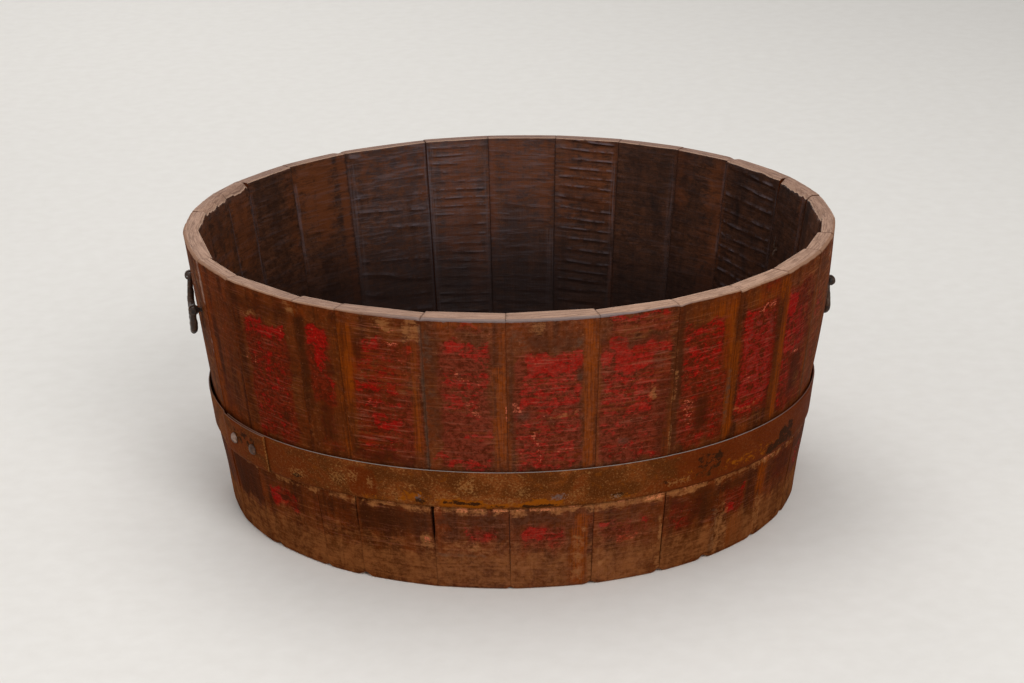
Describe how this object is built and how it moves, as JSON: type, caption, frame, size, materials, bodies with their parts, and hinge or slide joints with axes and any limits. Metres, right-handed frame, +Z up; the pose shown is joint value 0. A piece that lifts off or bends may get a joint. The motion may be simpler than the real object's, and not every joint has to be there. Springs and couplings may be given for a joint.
{
  "type": "wooden tub planter",
  "caption": "Round tapered tub of pegged wooden staves with a riveted iron hoop, a boarded floor and drop handles; holds a potted plant, soil or stores.",
  "frame": {"origin": "on the ground, at the centre of the tub's foot", "axes": "+Z up through the tub's middle; -Y towards the front of the picture; +X to its right"},
  "size_m": [0.7481, 0.7394, 0.315],
  "materials": {
    "stave_wood": "worn red paint on aged brown wood, dusty and matt",
    "floor_wood": "dark aged boards, matt",
    "peg_wood": "plain split wood",
    "hoop_iron": "rusty brown wrought strap with a worn grey top edge",
    "handle_iron": "dark hand-forged iron with light rust"
  },
  "bodies": {
    "tub": {"stave_01": "stave_wood", "stave_02": "stave_wood", "stave_03": "stave_wood", "stave_04": "stave_wood", "stave_05": "stave_wood", "stave_06": "stave_wood", "stave_07": "stave_wood", "stave_08": "stave_wood", "stave_09": "stave_wood", "stave_10": "stave_wood", "stave_11": "stave_wood", "stave_12": "stave_wood", "stave_13": "stave_wood", "stave_14": "stave_wood", "stave_15": "stave_wood", "stave_16": "stave_wood", "stave_17": "stave_wood", "stave_18": "stave_wood", "stave_19": "stave_wood", "stave_20": "stave_wood", "stave_21": "stave_wood", "stave_22": "stave_wood", "stave_23": "stave_wood", "stave_24": "stave_wood", "stave_25": "stave_wood", "stave_26": "stave_wood", "stave_27": "stave_wood", "floor_board_1": "floor_wood", "floor_board_2": "floor_wood", "floor_board_3": "floor_wood", "floor_board_4": "floor_wood", "floor_board_5": "floor_wood", "floor_board_6": "floor_wood", "floor_dowels": "peg_wood", "lower_pegs": "peg_wood", "upper_pegs": "peg_wood", "hoop": "hoop_iron", "hoop_rivets": "hoop_iron", "left_front_eye": "handle_iron", "left_back_eye": "handle_iron", "right_front_eye": "handle_iron", "right_back_eye": "handle_iron"},
    "left_handle": {"left_bail": "handle_iron"},
    "right_handle": {"right_bail": "handle_iron"}
  },
  "joints": [
    {"name": "left_handle_swing", "type": "hinge", "parent": "tub", "child": "left_handle", "pos_m": [-0.35915, -0.05048, 0.248], "axis": [-0.1392, 0.9903, 0], "range_deg": [-1, 155]},
    {"name": "right_handle_swing", "type": "hinge", "parent": "tub", "child": "right_handle", "pos_m": [0.35535, 0.06266, 0.234], "axis": [0.1736, -0.9848, 0], "range_deg": [-2, 155]}
  ]
}
